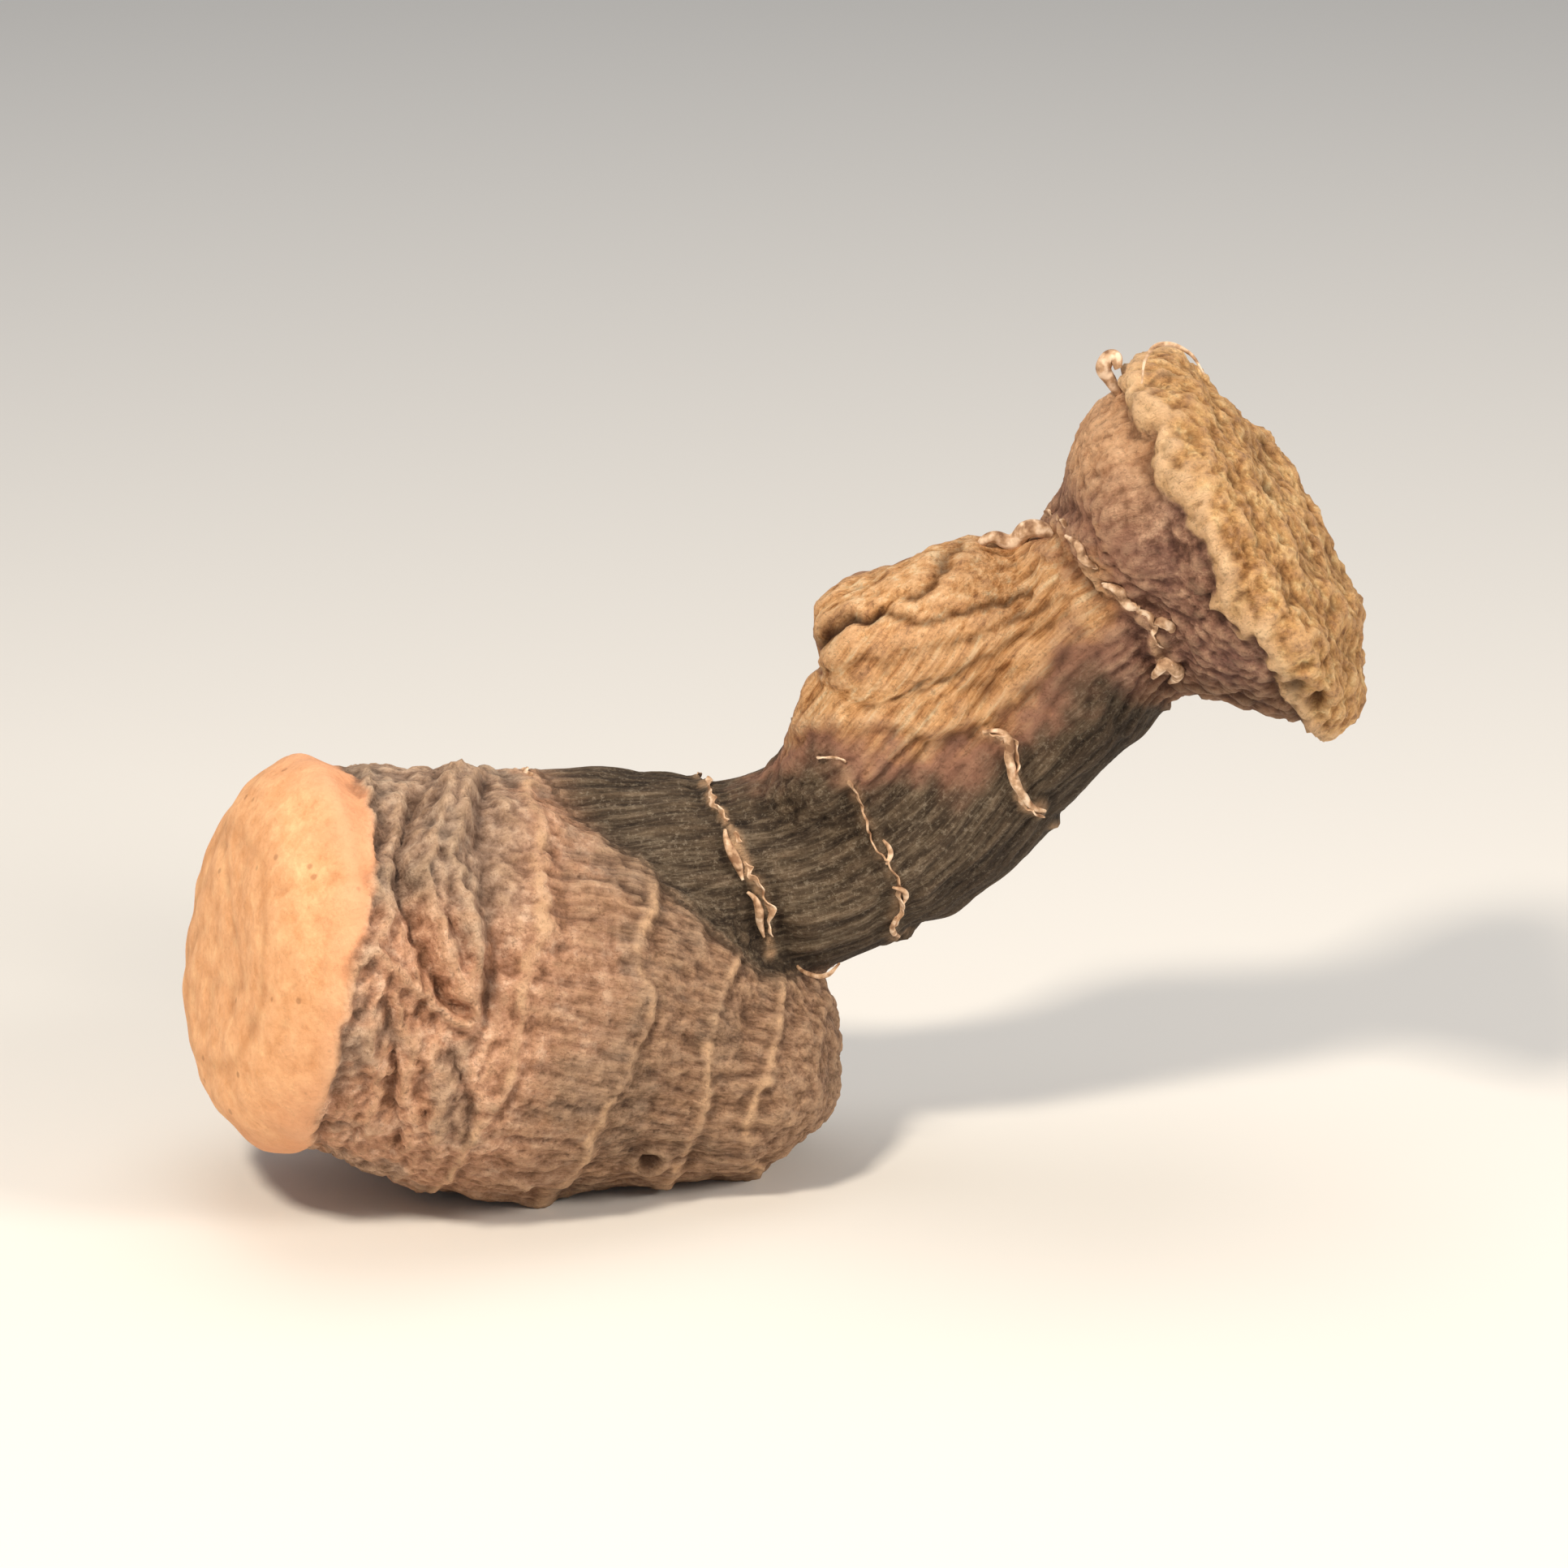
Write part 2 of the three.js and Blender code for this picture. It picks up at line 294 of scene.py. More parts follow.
def grow_skin(skin):
    """Gives the skin its folds, scars, ribs, cracks and cut faces, and the masks that colour them."""
    mesh = skin.data
    average = averaging(mesh)
    melt(mesh, average, 90)
    places = read(mesh, "co") / MM
    normals = read(mesh, "normal")
    flat = seen(places)
    facing = -normals[:, 1] * math.cos(VIEW_ELEVATION) + normals[:, 2] * math.sin(VIEW_ELEVATION)
    front = rise(facing, 0.0, 0.3)
    older = follow(OLDER_LINE, places)
    younger = follow(YOUNGER_LINE, places)
    stump = follow(STUMP_LINE, places)
    off_older = np.hypot(older[:, 1], older[:, 2])
    off_younger = np.hypot(younger[:, 1], younger[:, 2])
    narrowing = 1 - 0.4 * rise(older[:, 0], 18, 36)
    young = rise(off_older / (OLDER_RADIUS * narrowing) - off_younger / YOUNGER_RADIUS, -0.16, 0.06)
    young = np.maximum(young * rise(younger[:, 0], 1, 7), rise(younger[:, 0], 38, 42))
    grain = np.where(young[:, None] > 0.5, younger, older)
    wander = lumps(places, 4.0, 3.1)
    fine_wander = lumps(places, 1.1, 8.7)

    # Zones. Their edges wander, as bark does where it was torn or has shrunk back.
    flesh_line = older[:, 0] + 0.30 * wander + 0.10 * fine_wander + 0.5 * bell(older[:, 1], 5)
    flesh_line -= 1.9 * rise(older[:, 1], 4, 12) + 1.1 * rise(-older[:, 1], 6, 12)
    sawn = (1 - young) * (places[:, 0] < -20)
    flesh = (1 - rise(flesh_line, FLESH_EDGE - 0.4, FLESH_EDGE + 0.4)) * sawn
    disc_line = younger[:, 0] + 1.0 * wander + 0.5 * fine_wander
    disc = rise(disc_line, DISC_EDGE - 0.3, DISC_EDGE + 0.3)
    lip = bell(disc_line - DISC_EDGE - 0.7, 0.75) * (young > 0.5)
    depth = inside(flat, STUMP_EDGE)
    stump_far = rise(5.9 - np.hypot(stump[:, 1] - 1.0, stump[:, 2]) + fine_wander, -1, 1)
    stump_far = stump_far * rise(stump[:, 0], -2.5, -1) * (1 - rise(stump[:, 0], 13, 15)) * (stump[:, 1] > -3)
    cut = np.maximum(rise(depth + 0.5 * fine_wander, -0.4, 0.9) * front, stump_far * (1 - front)) * (1 - disc)
    tanned = np.maximum(rise(depth + 1.3 * wander + 0.8 * fine_wander, -4.2, 2.0) * front, stump_far * (1 - front))
    tanned = tanned * (1 - disc) * young
    fold = (1 - young) * (1 - flesh) * (1 - rise(older[:, 0] + wander, 11.0, 14.5))
    neck = rise(younger[:, 0] + 0.8 * wander, 54.5, 56.5) * (1 - disc) * (1 - cut)
    bark = (1 - flesh) * (1 - disc)
    old_bark = (1 - young) * bark
    stem = young * bark * (1 - tanned) * (1 - neck)
    # The underside of the younger joint; the colour uses it to paint shade there.
    under = rise(-younger[:, 1] - 0.25 * np.abs(younger[:, 2]), 0.5, 5.0) * young

    # Slow lumps, then wrinkles that run with the grain of each joint.
    height = 0.38 * lumps(places, 9.0, 1.7) + 0.16 * lumps(places, 3.4, 5.2) * bark
    ribs = creases(grain, (11.0, 1.6, 1.6), 2.2) - 0.6
    fine_ribs = creases(grain, (6.0, 0.85, 0.85), 9.4) - 0.6
    height += bark * young * (1 - cut) * (1 - 0.6 * neck) * (0.22 * ribs + 0.15 * fine_ribs)
    height += neck * under * 0.42 * (creases(younger, (10.0, 1.3, 1.3), 5.5) - 0.6)
    height += neck * (0.16 * (creases(places, 1.2, 3.3) - 0.6) + 0.14 * fine_ribs)
    height += old_bark * (1 - fold) * (0.20 * ribs * (1 + wander) + 0.17 * fine_ribs)
    height += old_bark * 0.30 * lumps(older, (10.0, 3.0, 3.0), 6.6)
    height += old_bark * fold * 0.26 * (creases(older, (0.9, 3.6, 3.6), 8.3) - 0.6)
    height += old_bark * (0.10 + 0.12 * fold) * (creases(places, 1.25, 6.1) - 0.6)
    height += old_bark * 0.12 * (rise(cells(places, (2.4, 2.8, 2.8), 3.0), 0.36, 0.5) - 0.5)
    streaks = creases(younger, (7.0, 0.9, 0.9), 7.1) - 0.6
    height += cut * (0.20 * streaks + 0.14 * lumps(places, 1.1, 1.2) + 0.25 * lumps(places, 2.8, 6.4))
    height += 0.6 * front * rise(depth, 0.0, 1.0) * young

    # Leaf scars: a low ring, with the bark pulled in behind it. In front they follow their own lines.
    scar = np.zeros(len(places))
    for i, place in enumerate(OLDER_SCARS):
        ring = older[:, 0] - place + 1.3 * lumps(older, (9, 6, 6), i + 0.5) + 0.25 * fine_wander
        height += old_bark * (0.7 + 0.3 * wander) * (0.30 * bell(ring, 0.4) - 0.26 * bell(ring - 0.9, 0.7))
        scar = np.maximum(scar, old_bark * bell(ring, 0.35))
    for i, (place, slant) in enumerate(YOUNGER_SCARS):
        ring = younger[:, 0] - place - slant * younger[:, 1] + 0.5 * lumps(younger, (9, 6, 6), i + 7.5)
        behind = young * bark * (1 - front) * (1 - cut)
        height += behind * (0.30 * bell(ring, 0.4) - 0.25 * bell(ring - 0.9, 0.6))
        scar = np.maximum(scar, behind * bell(ring, 0.3))
    for i, path in enumerate(SCAR_FRILLS):
        away = from_path(flat + 0.25 * np.stack([fine_wander, fine_wander], 1), path)
        strength = 1.0 if i != 1 else 0.45
        height += front * young * strength * (0.34 * bell(away, 0.36) - 0.20 * bell(away, 0.9))
        height -= front * young * (0.4 if i == 3 else 0.1) * bell(away - 1.0, 0.45)
        scar = np.maximum(scar, front * young * strength * bell(away, 0.3))

    # Crumpled folds behind the sawn face: listed one by one in front, scattered at the back.
    crumple = np.zeros(len(places))
    for tall, broad, path in FOLDS:
        crumple += tall * bell(from_path(flat + 0.3 * np.stack([fine_wander, wander], 1), path), broad)
    height += front * (1 - flesh) * (1 - young) * crumple
    height += fold * (0.6 - 0.35 * front) * (creases(older, (2.0, 6.5, 6.5), 1.9) - 0.5)
    height -= 0.9 * front * bell(from_path(flat, FOLD_STEP), 0.75) * (1 - flesh)
    pocket = front * bell(np.hypot(flat[:, 0] + 18.5, (flat[:, 1] - 13.4) / 2.2), 0.75)
    height -= 1.1 * pocket
    height -= 0.40 * bell(flesh_line - FLESH_EDGE - 0.7, 0.6) * sawn

    # Cracks in the stump's cut, open, and painted dark inside as shade.
    crack = np.zeros(len(places))
    for deep, broad, path in CRACKS:
        away = from_path(flat + 0.3 * np.stack([wander, fine_wander], 1), path)
        crack = np.maximum(crack, deep * bell(away, broad))
    crack = crack * front
    height -= 0.9 * crack

    # The sawn face is smooth and swollen, with one shrinkage crease.
    height += flesh * (0.16 * lumps(places, 2.2, 2.8) - 0.16 * front * bell(from_path(flat, FLESH_CREASE), 0.4))
    # The flared cut is torn and grainy: stringy pits between harder fibres.
    pits = cells(places, 1.3, 4.0)
    grains = creases(places, 0.95, 7.7)
    height += disc * (0.50 * (pits - 0.5) + 0.22 * (grains - 0.6) + 0.35 * lumps(places, 2.8, 9.2))
    height += disc * rise(off_younger, 9.0, 12.5) * 0.35 * (cells(places, 0.95, 12.0) - 0.5)
    holes = disc * bell(cells(places, 4.6, 21.0), 0.15) * rise(off_younger, 2.0, 3.5)
    height -= 0.9 * holes
    height += disc * 0.35 * bell(off_younger - 8.0 - 0.8 * wander, 1.6)
    height += 0.5 * lip - 0.4 * bell(disc_line - DISC_EDGE + 0.6, 0.5) * young
    # Root scars on the underside of both joints: little craters with a raised edge.
    roots = np.zeros(len(places))
    for joint, here, reach, spots in ((older, old_bark, 30.0, 9), (younger, young * bark, 44.0, 7)):
        radius = np.hypot(joint[:, 1], joint[:, 2])
        bearing = np.arctan2(joint[:, 2], joint[:, 1])
        for i in range(spots):
            turn = math.pi + 1.1 * math.sin(i * 2.4)
            swing = np.angle(np.exp(1j * (bearing - turn))) * radius
            away = np.hypot(joint[:, 0] - 8.0 - i * reach / spots, swing)
            hidden = here * (1 - front * (1 - rise(older[:, 0], 15, 18) * (1 - young)))
            roots = np.maximum(roots, hidden * bell(away, 0.8))
            height += hidden * (0.45 * bell(away - 1.1, 0.45) - 0.6 * bell(away, 0.7))

    grown = places + normals * height[:, None]
    # Dry starch stands out of the sawn end like a cushion, and its rim has shrunk in.
    ahead = np.array(OLDER_LINE[1]) - OLDER_LINE[0]
    ahead = ahead / np.linalg.norm(ahead)
    across = np.array([0.0, 1.0, 0.0]) - ahead * ahead[1]
    across = across / np.linalg.norm(across)
    inward = -(older[:, 1:2] * np.cross(ahead, across) + older[:, 2:3] * across) / np.maximum(off_older, 1)[:, None]
    core = np.minimum(off_older / OLDER_RADIUS, 1)
    swell = CUSHION * rise(-older[:, 0], -2.4, 0.4) * (1 - core ** 4)
    pinch = RIM_ROUNDING * rise(-older[:, 0], -2.4, 0.8) * rise(core, 0.7, 1.0)
    grown += sawn[:, None] * (inward * pinch[:, None] - ahead * swell[:, None])
    # The low end of the flare has curled in as it dried.
    grown[:, 0] -= 1.5 * rise(places[:, 0], 32.5, 38.5) * rise(38.5 - flat[:, 1], 0, 6)
    grown[:, 2] = np.maximum(grown[:, 2], 0.02)
    write_places(mesh, grown * MM)

    hollow = hollowness(mesh, average, 4)
    broad = hollowness(mesh, average, 18)
    masks = {
        "flesh": flesh, "disc": disc, "lip": lip, "tanned": tanned, "young": young, "neck": neck,
        "under": under, "scar": scar * rise(fine_wander + wander, -0.8, 0.5),
        # painted light: the upper side of the neck is painted lighter
        "painted_sunlit_top": neck * rise(younger[:, 1] + 1.5 * wander, 6.0, 11.0),
        "weathered": fold * rise(older[:, 1] + 1.5 * wander, 5.5, 10.5),
        "core_ring": flesh * bell(off_older / OLDER_RADIUS - 0.60 - 0.05 * wander, 0.035),
        "blush": rise(older[:, 0] + 0.6 * wander, -0.6, 2.4),
        "aged": rise(older[:, 0] + 2.0 * wander, 9, 24),
        # painted shade in recesses: cracks, the pocket, root-scar craters and holes
        "crack": np.maximum.reduce([crack, 0.85 * pocket, 0.8 * roots, 0.85 * holes]),
        # painted shade: creases and hollows are darkened in the colour
        "painted_crease_shade": np.clip(hollow / 0.10, 0, 1) * 0.6 + np.clip(broad / 0.35, 0, 1) * (0.5 - 0.3 * fold),
        # painted highlight: raised backs and ridges are paled in the colour, less on the stem
        "edge": (np.clip(-hollow / 0.11, 0, 1) * 0.7 + np.clip(-broad / 0.4, 0, 1) * 0.3) * (1 - 0.7 * stem),
    }
    for name, values in masks.items():
        write_mask(mesh, name, values)
    direction = mesh.attributes.new("along_grain", "FLOAT_VECTOR", "POINT")
    direction.data.foreach_set("vector", grain.astype(np.float32).ravel())
    mesh.polygons.foreach_set("use_smooth", np.ones(len(mesh.polygons), bool))
    return skin


# --- materials ------------------------------------------------------------------------------
def colour(hex_code):
    """An sRGB hex colour as linear values."""
    parts = [int(hex_code[i:i + 2], 16) / 255 for i in (1, 3, 5)]
    return tuple(c / 12.92 if c <= 0.04045 else ((c + 0.055) / 1.055) ** 2.4 for c in parts) + (1.0,)


def add(tree, kind, inputs=None, **settings):
    """Adds a node with its settings. An input is a value or an output of another node."""
    made = tree.nodes.new(kind)
    for name, value in settings.items():
        setattr(made, name, value)
    for key, value in (inputs or {}).items():
        socket = made.inputs[key]
        if isinstance(value, bpy.types.NodeSocket):
            tree.links.new(value, socket)
        else:
            socket.default_value = value
    return made


def new_material(name):
    material = bpy.data.materials.new(name)
    material.use_nodes = True
    material.node_tree.nodes.clear()
    return material, material.node_tree


def ramp(tree, factor, stops):
    """A colour ramp with (place, colour) stops."""
    made = add(tree, "ShaderNodeValToRGB", {"Fac": factor})
    elements = made.color_ramp.elements
    while len(elements) < len(stops):
        elements.new(0.5)
    for element, (place, hex_code) in zip(elements, stops):
        element.position = place
        element.color = colour(hex_code)
    return made.outputs["Color"]


def mixed(tree, factor, a, b, blend="MIX"):
    made = add(tree, "ShaderNodeMix", {0: factor, 6: a, 7: b}, data_type="RGBA", blend_type=blend)
    return made.outputs[2]


def maths(tree, operation, *values, use_clamp=False):
    made = add(tree, "ShaderNodeMath", dict(enumerate(values)), operation=operation, use_clamp=use_clamp)
    return made.outputs[0]


def bark_and_flesh():
    """Dried rhizome: dull wrinkled bark, darker where it is old, over starchy orange-tan flesh.

    Bark is cork, so it scatters light and has almost no gloss. Cut flesh is dry starch and fibre,
    brighter and chalky. Painted shade darkens the creases, and painted highlights pale the raised backs."""
    material, tree = new_material("dried_bark_and_flesh")
    mask = {name: add(tree, "ShaderNodeAttribute", attribute_name=name).outputs["Fac"]
            for name in ("flesh", "disc", "lip", "tanned", "young", "neck", "under", "scar", "blush", "aged",
                         "crack", "painted_crease_shade", "edge", "painted_sunlit_top", "weathered", "core_ring")}
    grain = add(tree, "ShaderNodeAttribute", attribute_name="along_grain").outputs["Vector"]
    place = add(tree, "ShaderNodeTexCoord").outputs["Object"]
    place = add(tree, "ShaderNodeMapping", {"Vector": place, "Scale": (1 / MM, 1 / MM, 1 / MM)}).outputs[0]

    def pattern(vector, size, detail=4.0, roughness=0.6):
        """Noise with lumps about size millimetres long on each axis."""
        stretched = add(tree, "ShaderNodeMapping", {"Vector": vector, "Scale": tuple(1 / s for s in size)})
        return add(tree, "ShaderNodeTexNoise", {"Vector": stretched.outputs[0], "Scale": 1.0, "Detail": detail,
                                                "Roughness": roughness}).outputs["Fac"]

    streaks = pattern(grain, (9.0, 0.8, 0.8))
    fine_streaks = pattern(grain, (3.0, 0.26, 0.26), 5.0, 0.7)
    patches = pattern(place, (6.5, 6.5, 6.5), 3.0)
    mottle = pattern(place, (1.3, 1.3, 1.3), 6.0, 0.7)
    grit = pattern(place, (0.34, 0.34, 0.34), 4.0, 0.8)
    pores = add(tree, "ShaderNodeTexVoronoi", {"Vector": place, "Scale": 1 / 2.3}).outputs["Distance"]
    granules = add(tree, "ShaderNodeTexVoronoi", {"Vector": place, "Scale": 1 / 0.42}).outputs["Distance"]
    pits = add(tree, "ShaderNodeTexVoronoi", {"Vector": place, "Scale": 1 / 0.75}).outputs["Distance"]

    # Young bark: dark grey-olive cork with fine lengthwise lines and pale specks of dust.
    stem = ramp(tree, streaks, [(0.32, "#3a2e23"), (0.46, "#544637"), (0.58, "#685845"), (0.70, "#83725c")])
    stem = mixed(tree, 0.4, stem, ramp(tree, fine_streaks, [(0.40, "#2b2018"), (0.50, "#5d4d3d"), (0.60, "#a3927b")]))
    stem = mixed(tree, 0.6, stem, ramp(tree, patches, [(0.38, "#9a8b78"), (0.60, "#ffffff")]), "MULTIPLY")
    dust = ramp(tree, grit, [(0.55, "#000000"), (0.62, "#a0a0a0")])
    stem = mixed(tree, dust, stem, colour("#b5a68f"))
    # Painted shade: the underside of the stem is darkened nearly to black.
    stem = mixed(tree, maths(tree, "MULTIPLY", mask["under"], 0.55), stem, colour("#241910"))
    # Neck: thinner purplish skin, with its upper side painted a lighter tan as painted light from above.
    neck = ramp(tree, mottle, [(0.34, "#54352a"), (0.46, "#8a6150"), (0.56, "#b3866e"), (0.68, "#ecc1a2")])
    neck = mixed(tree, ramp(tree, patches, [(0.42, "#000000"), (0.62, "#c8c8c8")]), neck, colour("#87615a"))
    neck = mixed(tree, mask["painted_sunlit_top"], neck, ramp(tree, mottle, [(0.35, "#c58e64"), (0.65, "#f4c498")]))
    # Painted shade: the underside of the neck is darkened.
    neck = mixed(tree, maths(tree, "MULTIPLY", mask["under"], 0.7), neck,
                 ramp(tree, streaks, [(0.35, "#3f2618"), (0.65, "#8a6245")]))
    # Old bark: tan and flaky beside the cut, browner and striped further along.
    old = ramp(tree, mottle, [(0.32, "#8a5d42"), (0.43, "#ba8868"), (0.54, "#d8a585"), (0.66, "#fbd0b0")])
    grey = ramp(tree, mottle, [(0.38, "#6e5d4f"), (0.62, "#b3a08c")])
    old = mixed(tree, ramp(tree, patches, [(0.50, "#000000"), (0.60, "#c8c8c8")]), old, grey)
    old = mixed(tree, maths(tree, "MULTIPLY", mask["weathered"], 0.7), old, grey)
    aged = mixed(tree, 0.5, ramp(tree, streaks, [(0.34, "#3f2c1e"), (0.50, "#73543c"), (0.66, "#a58261")]),
                 ramp(tree, fine_streaks, [(0.40, "#3c2a1c"), (0.60, "#b8977a")]))
    old = mixed(tree, maths(tree, "MULTIPLY", mask["aged"], 0.8), old, aged)
    # Flesh: pale golden starch, pinker where it dried against the bark, with pinholes of cut vessels.
    flesh = ramp(tree, mottle, [(0.30, "#d99a66"), (0.50, "#ecb180"), (0.70, "#fac894")])
    flesh = mixed(tree, ramp(tree, patches, [(0.44, "#606060"), (0.60, "#000000")]), flesh, colour("#d89a68"))
    flesh = mixed(tree, maths(tree, "MULTIPLY", mask["blush"], 0.75), flesh, colour("#dc9a72"))
    flesh = mixed(tree, maths(tree, "MULTIPLY", mask["core_ring"], 0.45), flesh, colour("#c58a5a"))
    flesh = mixed(tree, ramp(tree, pores, [(0.07, "#b0b0b0"), (0.12, "#000000")]), flesh, colour("#7a4826"))
    stump = ramp(tree, pattern(grain, (6.0, 0.55, 0.55), 6.0, 0.7),
                 [(0.34, "#925a29"), (0.44, "#d69b61"), (0.54, "#f1bc84"), (0.66, "#ffe0b2")])
    stump = mixed(tree, ramp(tree, patches, [(0.45, "#000000"), (0.70, "#808080")]), stump, colour("#c08c68"))
    disc = ramp(tree, mottle, [(0.34, "#8a5829"), (0.45, "#c48f56"), (0.55, "#e0ae70"), (0.67, "#fddaa0")])
    disc = mixed(tree, ramp(tree, pits, [(0.16, "#c0c0c0"), (0.34, "#000000")]), disc, colour("#8a5a30"))

    shade = mixed(tree, mask["young"], old, stem)
    shade = mixed(tree, mask["neck"], shade, neck)
    blushing = mixed(tree, mottle, colour("#8f6250"), colour("#c49276"))
    shade = mixed(tree, maths(tree, "MULTIPLY", mask["tanned"], 2.0, use_clamp=True), shade, blushing)
    halfway = maths(tree, "MULTIPLY_ADD", mask["tanned"], 2.0, -1.0, use_clamp=True)
    shade = mixed(tree, halfway, shade, stump)
    shade = mixed(tree, mask["flesh"], shade, flesh)
    shade = mixed(tree, mask["disc"], shade, disc)
    cream = mixed(tree, mottle, colour("#dcab7a"), colour("#ffddb0"))
    shade = mixed(tree, maths(tree, "MULTIPLY", mask["lip"], 0.85), shade, cream)
    shade = mixed(tree, maths(tree, "MULTIPLY", mask["scar"], 0.7), shade, colour("#dcb28a"))
    # Painted highlight: raised backs are paled towards cream.
    pale = mixed(tree, 0.6, shade, colour("#f6cfa8"))
    shade = mixed(tree, maths(tree, "MULTIPLY", mask["edge"], 0.5), shade, pale)
    # Painted shade: creases and hollows are darkened in the colour.
    deep = mixed(tree, 0.8, shade, colour("#553320"), "MULTIPLY")
    shade = mixed(tree, maths(tree, "MULTIPLY", mask["painted_crease_shade"], 0.7), shade, deep)
    rough_zone = maths(tree, "SUBTRACT", 1.0, maths(tree, "MULTIPLY", mask["flesh"], 0.7))
    # Painted shade: cracks, the pocket, root-scar craters and holes are darkened nearly to black.
    shade = mixed(tree, maths(tree, "MULTIPLY", mask["crack"], 0.9), shade, colour("#331a0c"))
    speckle = ramp(tree, grit, [(0.38, "#7d6a5a"), (0.46, "#ffffff")])
    shade = mixed(tree, maths(tree, "MULTIPLY", rough_zone, 0.35), shade, speckle, "MULTIPLY")

    relief = maths(tree, "MULTIPLY", maths(tree, "MULTIPLY", fine_streaks, mask["young"]), 0.7)
    relief = maths(tree, "ADD", relief, maths(tree, "MULTIPLY", mottle, 0.7))
    relief = maths(tree, "ADD", relief, maths(tree, "MULTIPLY", grit, 0.55))
    relief = maths(tree, "ADD", relief, maths(tree, "MULTIPLY", granules, 0.35))
    relief = maths(tree, "MULTIPLY", relief, rough_zone)
    bump = add(tree, "ShaderNodeBump", {"Height": relief, "Strength": 1.0, "Distance": 0.45 * MM})
    roughness = maths(tree, "MULTIPLY_ADD", mottle, 0.25, 0.62)
    surface = add(tree, "ShaderNodeBsdfPrincipled",
                  {"Base Color": shade, "Roughness": roughness, "Normal": bump.outputs[0],
                   "IOR": 1.45, "Specular IOR Level": 0.3})
    add(tree, "ShaderNodeOutputMaterial", {"Surface": surface.outputs[0]})
    return material


def papery_scar():
    """Torn edge of a leaf sheath: thin dry fibre, matt and nearly white against the bark."""
    material, tree = new_material("papery_leaf_sheath")
    place = add(tree, "ShaderNodeTexCoord").outputs["Object"]
    place = add(tree, "ShaderNodeMapping", {"Vector": place, "Scale": (1 / MM, 1 / MM, 1 / MM)}).outputs[0]
    cloudy = add(tree, "ShaderNodeTexNoise", {"Vector": place, "Scale": 1.4, "Detail": 5.0}).outputs["Fac"]
    shade = ramp(tree, cloudy, [(0.36, "#8f6a4d"), (0.50, "#cba684"), (0.64, "#f6dcc0")])
    bump = add(tree, "ShaderNodeBump", {"Height": cloudy, "Strength": 0.6, "Distance": 0.15 * MM})
    surface = add(tree, "ShaderNodeBsdfPrincipled",
                  {"Base Color": shade, "Roughness": 0.8, "Normal": bump.outputs[0], "IOR": 1.45})
    add(tree, "ShaderNodeOutputMaterial", {"Surface": surface.outputs[0]})
    return material


# --- torn leaf sheaths and loose fibres -----------------------------------------------------
def skin_tree(skin):
    work = bmesh.new()
    work.from_mesh(skin.data)
    tree = BVHTree.FromBMesh(work)
    work.free()
    return tree


def dropped_in_front(tree, path, spacing=0.3):
    """Points of the skin under a path that the viewer sees, with their normals."""
    toward = Vector((0, math.cos(VIEW_ELEVATION), -math.sin(VIEW_ELEVATION)))
    upward = Vector((0, math.sin(VIEW_ELEVATION), math.cos(VIEW_ELEVATION)))
    flat, _, lengths = smooth_line([(x, h, 0) for x, h in path])
    found = []
    for distance in np.arange(0, lengths[-1], spacing):
        x, height = (np.interp(distance, lengths, flat[:, k]) for k in (0, 1))
        start = (Vector((x, 0, 0)) + upward * height - toward * 100) * MM
        hit, normal, _, _ = tree.ray_cast(start, toward)
        if hit is not None:
            found.append((hit, normal))
    return found


def dropped_around(tree, line, radius, distance, slant, start, end, spacing=0.25):
    """Points of the skin around a joint, from one angle to another, with their normals."""
    places, along, distances = smooth_line(line)
    found = []
    steps = int(abs(end - start) * radius / spacing)
    for i in range(steps + 1):
        angle = start + (end - start) * i / steps
        here = distance + slant * radius * math.cos(angle) + 0.5 * noise.noise((angle * 1.6, distance, 0.0))
        here += 0.5 * noise.noise((angle * radius * 0.7, distance, 5.0))
        centre = Vector([np.interp(here, distances, places[:, k]) for k in range(3)])
        ahead = Vector([np.interp(here, distances, along[:, k]) for k in range(3)]).normalized()
        across = (Vector((0, 1, 0)) - ahead * ahead.y).normalized()
        outward = ahead.cross(across) * math.cos(angle) + across * math.sin(angle)
        hit, normal, _, _ = tree.ray_cast((centre + outward * 40) * MM, -outward)
        if hit is not None and (hit / MM - centre).length < radius * 1.2 and hit.z > 1.2 * MM:
            found.append((hit, normal))
    return found


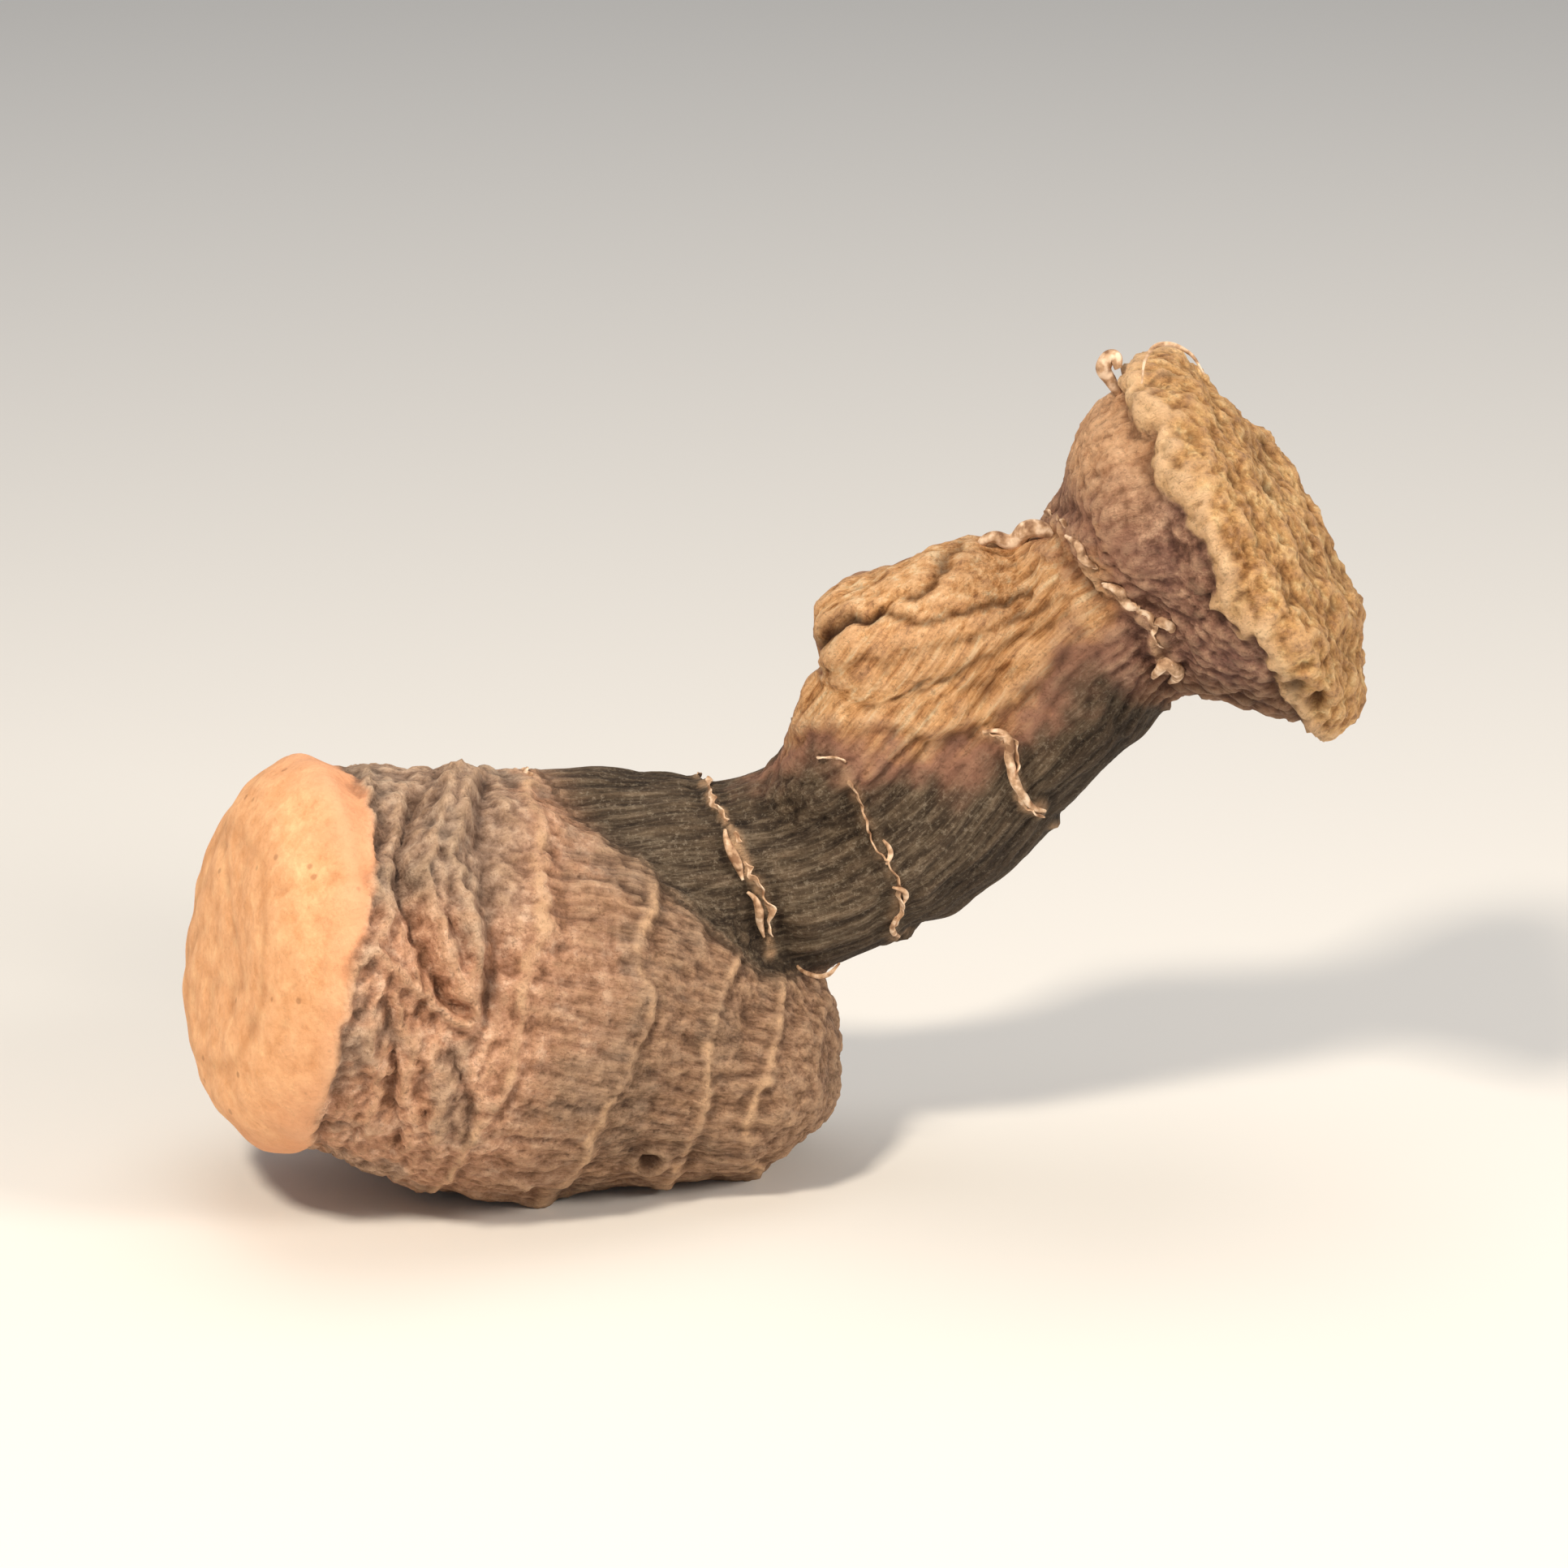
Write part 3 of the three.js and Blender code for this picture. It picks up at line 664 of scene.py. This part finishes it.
def frill(name, stretches, width, lift, seed):
    """A ragged strip of sheath along the skin. It hugs the bark at its foot and curls off it at its edge."""
    work = bmesh.new()
    for number, points in enumerate(stretches):
        rows = []
        whole = []
        for i, (place, normal) in enumerate(points):
            ahead = (points[min(i + 1, len(points) - 1)][0] - points[max(i - 1, 0)][0]).normalized()
            aside = normal.cross(ahead).normalized()
            tooth = noise.noise((i * 0.45, seed, number)) + 0.6 * noise.noise((i * 1.3, seed + 5, number))
            wave = noise.noise((i * 0.22, seed + 9, number))
            sway = 0.4 * noise.noise((i * 0.16, seed + 13, number)) + 0.25 * noise.noise((i * 0.5, seed, 3.0))
            wide = max(width * (0.6 + 0.9 * tooth + 0.5 * wave), 0.1)
            curl = max(lift * (0.7 + tooth + 1.1 * wave), 0.04)
            place = place + aside * sway * MM
            foot = place - (normal * 0.14 + aside * 0.12) * MM
            middle = place + (aside * wide * 0.55 + normal * (0.08 + 0.55 * curl)) * MM
            edge = place + (aside * (wide * 0.8 - 0.3 * curl) + normal * (0.10 + curl)) * MM
            rows.append([work.verts.new(p) for p in (foot, middle, edge)])
            whole.append(noise.noise((i * 0.13, seed + 21, number)) > -0.14)
        for i, (a, b) in enumerate(zip(rows[:-1], rows[1:])):
            if whole[i] and whole[i + 1] and (a[0].co - b[0].co).length < 1.2 * MM:
                for k in range(2):
                    work.faces.new((a[k], a[k + 1], b[k + 1], b[k]))
    loose = [v for v in work.verts if not v.link_faces]
    bmesh.ops.delete(work, geom=loose, context="VERTS")
    bmesh.ops.recalc_face_normals(work, faces=work.faces)
    mesh = bpy.data.meshes.new(name)
    work.to_mesh(mesh)
    work.free()
    strip = bpy.data.objects.new(name, mesh)
    thickness = strip.modifiers.new("thickness", "SOLIDIFY")
    thickness.thickness = 0.12 * MM
    thickness.offset = 0
    softness = strip.modifiers.new("softness", "SUBSURF")
    softness.levels = 1
    softness.render_levels = 1
    return finished(strip)


def fibre(name, points, radius):
    """A stray hair root or a curl of sheath: a thin tube along a line, thicker in its middle."""
    curve = bpy.data.curves.new(name, "CURVE")
    curve.dimensions = "3D"
    curve.bevel_depth = radius * MM
    curve.bevel_resolution = 3
    curve.use_fill_caps = True
    spline = curve.splines.new("BEZIER")
    spline.bezier_points.add(len(points) - 1)
    for i, (handle, place) in enumerate(zip(spline.bezier_points, points)):
        handle.co = Vector(place) * MM
        handle.handle_left_type = handle.handle_right_type = "AUTO"
        handle.radius = 0.45 + 0.8 * math.sin(math.pi * i / (len(points) - 1)) + 0.3 * noise.noise((i * 1.7, radius, 0))
    return finished(bpy.data.objects.new(name, curve))


def curl_of_sheath(name, tree, path, radius):
    """A rolled scrap of sheath that lies on the skin where the viewer sees the path."""
    points = dropped_in_front(tree, path, 0.55)
    raised = [p / MM + n * (0.14 + 0.35 * abs(noise.noise((i * 0.8, radius * 9, 2.0)))) for i, (p, n) in enumerate(points)]
    return fibre(name, raised, radius)


def finished(piece):
    """The piece as a plain mesh, with its modifiers applied."""
    if piece.name not in bpy.context.collection.objects:
        bpy.context.collection.objects.link(piece)
    evaluated = piece.evaluated_get(bpy.context.evaluated_depsgraph_get())
    mesh = bpy.data.meshes.new_from_object(evaluated)
    name = piece.name
    bpy.data.objects.remove(piece)
    for polygon in mesh.polygons:
        polygon.use_smooth = True
    made = bpy.data.objects.new(name, mesh)
    bpy.context.collection.objects.link(made)
    return made


# --- the object -----------------------------------------------------------------------------
skin = grow_skin(even_skin())
skin.data.materials.append(bark_and_flesh())
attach(skin, "root")
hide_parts("rhizome")

skin_shape = skin_tree(skin)
sheath = papery_scar()
torn = [
    frill(f"leaf_sheath_{i + 1}", [dropped_in_front(skin_shape, path, 0.2)], width, 0.26, 3.7 * i)
    for i, (path, width) in enumerate(zip(SCAR_FRILLS, SHEATH_WIDTHS))
]
SHEATHS_BEHIND = [(distance, slant, 2.7, 0.4) for distance, slant in YOUNGER_SCARS[:3]]
torn.append(frill("leaf_sheath_back", [dropped_around(skin_shape, YOUNGER_LINE, YOUNGER_RADIUS, *scar)
                                       for scar in SHEATHS_BEHIND], 0.45, 0.25, 41.0))
SHEATHS_OLDER = [(OLDER_SCARS[0], 2.9, 0.2), (OLDER_SCARS[2], 2.9, 1.3)]
torn.append(frill("leaf_sheath_older", [dropped_around(skin_shape, OLDER_LINE, OLDER_RADIUS, scar, 0.0, start, end)
                                        for scar, start, end in SHEATHS_OLDER], 0.55, 0.12, 57.0))
for i, (radius, path) in enumerate(SHEATH_CURLS):
    torn.append(curl_of_sheath(f"sheath_curl_{i + 1}", skin_shape, path, radius))
torn.append(fibre("sheath_curl_top", [(12.2, 3.4, 41.9), (13.3, 2.7, 43.2), (14.6, 3.0, 42.8), (15.8, 2.2, 43.9),
                                      (17.2, 2.0, 43.4), (17.8, 1.2, 41.9)], 0.45))
torn.append(fibre("torn_bark_top", [(21.4, 1.8, 52.4), (20.7, 1.6, 53.6), (20.2, 1.3, 54.7), (20.8, 1.1, 55.3),
                                    (21.1, 0.9, 54.6)], 0.42))
torn.append(fibre("hair_root_top", [(22.4, -1.6, 54.2), (22.7, -1.7, 56.0), (23.4, -1.8, 56.7), (25.2, -1.4, 56.2),
                                    (26.4, -0.8, 54.6)], 0.12))
torn.append(fibre("hair_root_under", [(0.4, 2.2, 14.9), (1.5, -0.4, 14.7), (2.8, -1.6, 15.0), (3.6, -1.9, 15.9)], 0.14))
for piece in torn:
    piece.data.materials.append(sheath)
    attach(piece, "root")


# --- floor, light and camera ----------------------------------------------------------------
def pale_floor():
    work = bmesh.new()
    bmesh.ops.create_grid(work, x_segments=1, y_segments=1, size=1.5)
    mesh = bpy.data.meshes.new("floor")
    work.to_mesh(mesh)
    work.free()
    floor = bpy.data.objects.new("floor", mesh)
    bpy.context.collection.objects.link(floor)
    material, tree = new_material("matt_pale_board")
    surface = add(tree, "ShaderNodeBsdfPrincipled", {"Base Color": colour("#e6e3de"), "Roughness": 0.9})
    add(tree, "ShaderNodeOutputMaterial", {"Surface": surface.outputs[0]})
    mesh.materials.append(material)


def soft_light(name, place, aim, size, power, tint):
    data = bpy.data.lights.new(name, "AREA")
    data.size = size
    data.energy = power
    data.color = colour(tint)[:3]
    lamp = bpy.data.objects.new(name, data)
    bpy.context.collection.objects.link(lamp)
    lamp.location = place
    lamp.rotation_euler = (aim - place).to_track_quat("-Z", "Y").to_euler()


def studio(middle, length):
    world = bpy.data.worlds.new("studio")
    world.use_nodes = True
    world.node_tree.nodes["Background"].inputs["Color"].default_value = colour("#eceef2")
    world.node_tree.nodes["Background"].inputs["Strength"].default_value = 0.32
    bpy.context.scene.world = world
    soft_light("key", middle + Vector((-1.8, -3.0, 3.8)) * length, middle, 0.7 * length, 1.35, "#fff1dd")
    soft_light("fill", middle + Vector((4.6, -2.6, 2.8)) * length, middle, 1.6 * length, 1.25, "#fff6ea")
    soft_light("top", middle + Vector((0.5, 2.5, 10.0)) * length, middle, 8.0 * length, 2.2, "#ffffff")


def camera_in_front(middle, length):
    data = bpy.data.cameras.new("camera")
    data.lens = LENS
    data.sensor_width = SENSOR
    camera = bpy.data.objects.new("camera", data)
    bpy.context.collection.objects.link(camera)
    distance = FRAMING * length * LENS / SENSOR
    back = Vector((0, -math.cos(VIEW_ELEVATION), math.sin(VIEW_ELEVATION)))
    camera.location = middle + back * distance
    camera.rotation_euler = (-back).to_track_quat("-Z", "Y").to_euler()
    bpy.context.scene.camera = camera


MIDDLE = (LOW + HIGH) / 2
LENGTH = HIGH.x - LOW.x
bpy.context.scene.view_settings.view_transform = "Standard"
pale_floor()
studio(MIDDLE, LENGTH)
camera_in_front(MIDDLE, LENGTH)
